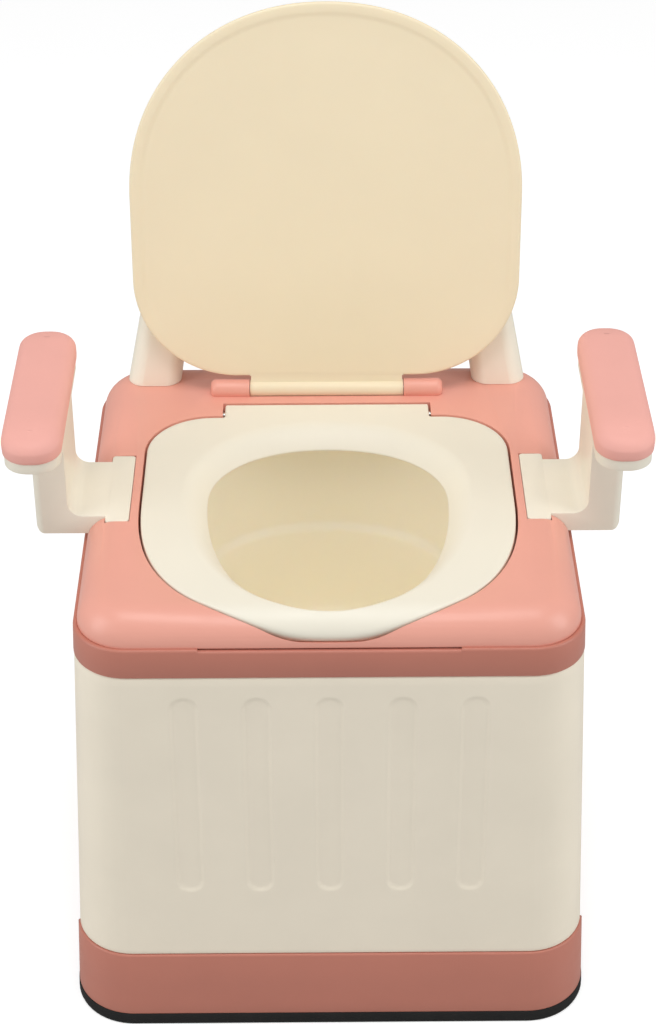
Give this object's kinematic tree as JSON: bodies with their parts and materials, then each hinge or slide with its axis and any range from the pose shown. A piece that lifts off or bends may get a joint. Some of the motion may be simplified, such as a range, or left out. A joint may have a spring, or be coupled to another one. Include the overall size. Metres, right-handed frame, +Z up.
{
  "type": "potty chair",
  "caption": "Free-standing potty chair: flared box body, flush hinged seat over a bucket, hinged lid, plug-in padded armrests and a plug-in backrest.",
  "frame": {"origin": "on the floor, at the centre of the body's square footprint", "axes": "+Z up, -Y towards the front, where the user sits down, +X to the right when seen from the front"},
  "size_m": [0.514, 0.4424, 0.766],
  "materials": {
    "rubber": "matt black rubber",
    "base_plastic": "satin moulded pink plastic",
    "band_plastic": "satin moulded pink plastic",
    "deck_plastic": "satin moulded pink plastic",
    "cream_plastic": "satin moulded cream plastic",
    "seat_plastic": "glossy moulded cream plastic",
    "lid_plastic": "satin cream plastic with a light grain",
    "bucket_plastic": "satin cream polypropylene",
    "armrest_plastic": "satin moulded cream plastic",
    "backrest_plastic": "satin moulded cream plastic",
    "pad_soft": "soft pink foam pad with a smooth satin skin",
    "steel": "zinc plated steel",
    "pin_steel": "plain steel"
  },
  "bodies": {
    "base": {"anti_slip_ring": "rubber", "base_band": "base_plastic", "base_screws": "steel", "body_shell": "cream_plastic", "rim_band": "band_plastic"},
    "deck": {"top_deck": "deck_plastic", "bucket": "bucket_plastic", "bucket_handle": "steel", "bucket_grip": "bucket_plastic", "seat_pin_left": "pin_steel", "seat_pin_right": "pin_steel", "lid_pin_left": "pin_steel", "lid_pin_right": "pin_steel"},
    "seat": {"seat_ring": "seat_plastic", "seat_bumpers": "rubber"},
    "lid": {"lid": "lid_plastic"},
    "armrest_left": {"armrest_bracket_left": "armrest_plastic", "armrest_pad_left": "pad_soft", "armrest_screws_left": "steel"},
    "armrest_right": {"armrest_bracket_right": "armrest_plastic", "armrest_pad_right": "pad_soft", "armrest_screws_right": "steel"},
    "backrest": {"backrest_panel": "backrest_plastic", "backrest_post_left": "backrest_plastic", "backrest_post_right": "backrest_plastic", "backrest_screws": "steel"}
  },
  "joints": [
    {"name": "deck_lift", "type": "slide", "parent": "base", "child": "deck", "axis": [0, 0, 1], "range_m": [0, 0.05]},
    {"name": "seat_hinge", "type": "hinge", "parent": "deck", "child": "seat", "pos_m": [0, 0.112, 0.412], "axis": [1, 0, 0], "range_deg": [-95, 0]},
    {"name": "lid_hinge", "type": "hinge", "parent": "deck", "child": "lid", "pos_m": [0, 0.142, 0.422], "axis": [1, 0, 0], "range_deg": [0, 98]},
    {"name": "armrest_left_lift", "type": "slide", "parent": "deck", "child": "armrest_left", "axis": [0, 0, -1], "range_m": [-0.05, 0]},
    {"name": "armrest_right_lift", "type": "slide", "parent": "deck", "child": "armrest_right", "axis": [0, 0, -1], "range_m": [-0.05, 0]},
    {"name": "backrest_lift", "type": "slide", "parent": "deck", "child": "backrest", "axis": [0, 0.1392, 0.9903], "range_m": [0, 0.05]}
  ]
}
